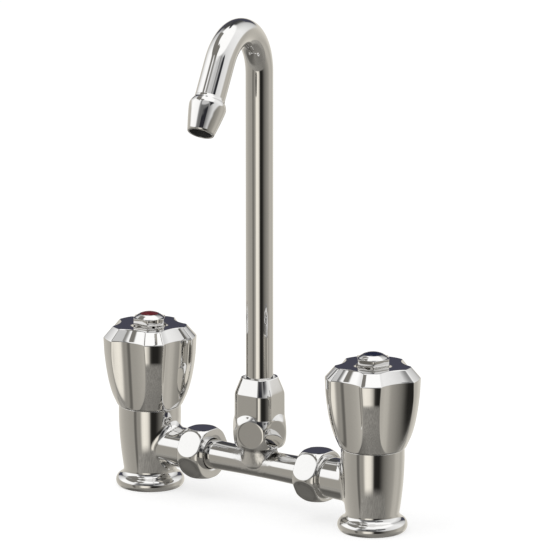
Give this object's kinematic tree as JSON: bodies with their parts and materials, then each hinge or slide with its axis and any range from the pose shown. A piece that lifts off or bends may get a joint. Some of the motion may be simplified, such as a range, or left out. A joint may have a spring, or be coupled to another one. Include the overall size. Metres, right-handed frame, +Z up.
{
  "type": "bridge kitchen tap",
  "caption": "Deck-mounted bridge kitchen mixer tap with two fluted handwheels, union nuts, a bridge tube and a tall swivel spout with a tapered nozzle.",
  "frame": {"origin": "midway between the two valve axes, at the height of the deck under the flanges", "axes": "+X along the bridge to the cold valve on the user's right, -Y towards the user, +Z up"},
  "size_m": [0.2415, 0.1204, 0.3263],
  "materials": {
    "chromed_brass": "polished chrome plate over brass",
    "chromed_zinc": "polished chrome plate over die-cast zinc",
    "chromed_plastic": "polished chrome plate",
    "plain_brass": "machined, unplated",
    "spring_steel": "bright drawn",
    "seal_rubber": "smooth black",
    "deck_rubber": "matt black",
    "fibre": "red-brown pressed fibre",
    "nylon_white": "natural nylon",
    "aerator_plastic": "dark moulded",
    "index_red": "deep red, plain",
    "index_blue": "very dark blue, plain"
  },
  "bodies": {
    "tap_body": {"bridge_tube": "chromed_brass", "spout_nut": "chromed_brass", "thrust_washer": "nylon_white", "slip_bush": "nylon_white", "left_valve_body": "chromed_brass", "left_base_gasket": "deck_rubber", "left_bonnet_gasket": "fibre", "left_bonnet": "plain_brass", "left_union_nut": "chromed_brass", "left_union_washer": "fibre", "right_valve_body": "chromed_brass", "right_base_gasket": "deck_rubber", "right_bonnet_gasket": "fibre", "right_bonnet": "plain_brass", "right_union_nut": "chromed_brass", "right_union_washer": "fibre"},
    "spout": {"spout_tube": "chromed_brass", "spout_seals": "seal_rubber", "spout_retaining_ring": "spring_steel", "outlet_nozzle": "chromed_brass", "aerator_washer": "seal_rubber", "aerator_insert": "aerator_plastic"},
    "left_handle_group": {"left_handle": "chromed_zinc", "left_handle_cap": "chromed_plastic", "left_index_disc": "index_red", "left_handle_screw": "spring_steel", "left_spindle": "plain_brass", "left_stem_seals": "seal_rubber", "left_spindle_clip": "spring_steel"},
    "left_jumper_group": {"left_jumper": "plain_brass", "left_seat_washer": "seal_rubber", "left_washer_screw": "plain_brass"},
    "right_handle_group": {"right_handle": "chromed_zinc", "right_handle_cap": "chromed_plastic", "right_index_disc": "index_blue", "right_handle_screw": "spring_steel", "right_spindle": "plain_brass", "right_stem_seals": "seal_rubber", "right_spindle_clip": "spring_steel"},
    "right_jumper_group": {"right_jumper": "plain_brass", "right_seat_washer": "seal_rubber", "right_washer_screw": "plain_brass"}
  },
  "joints": [
    {"name": "spout_swivel", "type": "hinge", "parent": "tap_body", "child": "spout", "pos_m": [0, 0, 0.09], "axis": [0, 0, 1], "continuous": true},
    {"name": "left_handle_turn", "type": "hinge", "parent": "tap_body", "child": "left_handle_group", "pos_m": [-0.09, 0, 0.08], "axis": [0, 0, 1], "range_deg": [0, 900]},
    {"name": "left_jumper_lift", "type": "slide", "parent": "tap_body", "child": "left_jumper_group", "axis": [0, 0, 1], "range_m": [0, 0.005]},
    {"name": "right_handle_turn", "type": "hinge", "parent": "tap_body", "child": "right_handle_group", "pos_m": [0.09, 0, 0.08], "axis": [0, 0, 1], "range_deg": [0, 900]},
    {"name": "right_jumper_lift", "type": "slide", "parent": "tap_body", "child": "right_jumper_group", "axis": [0, 0, 1], "range_m": [0, 0.005]}
  ],
  "couplings": [
    {"joint": "left_jumper_lift", "follows": "left_handle_turn", "m_per_rad": 0.0003183},
    {"joint": "right_jumper_lift", "follows": "right_handle_turn", "m_per_rad": 0.0003183}
  ]
}
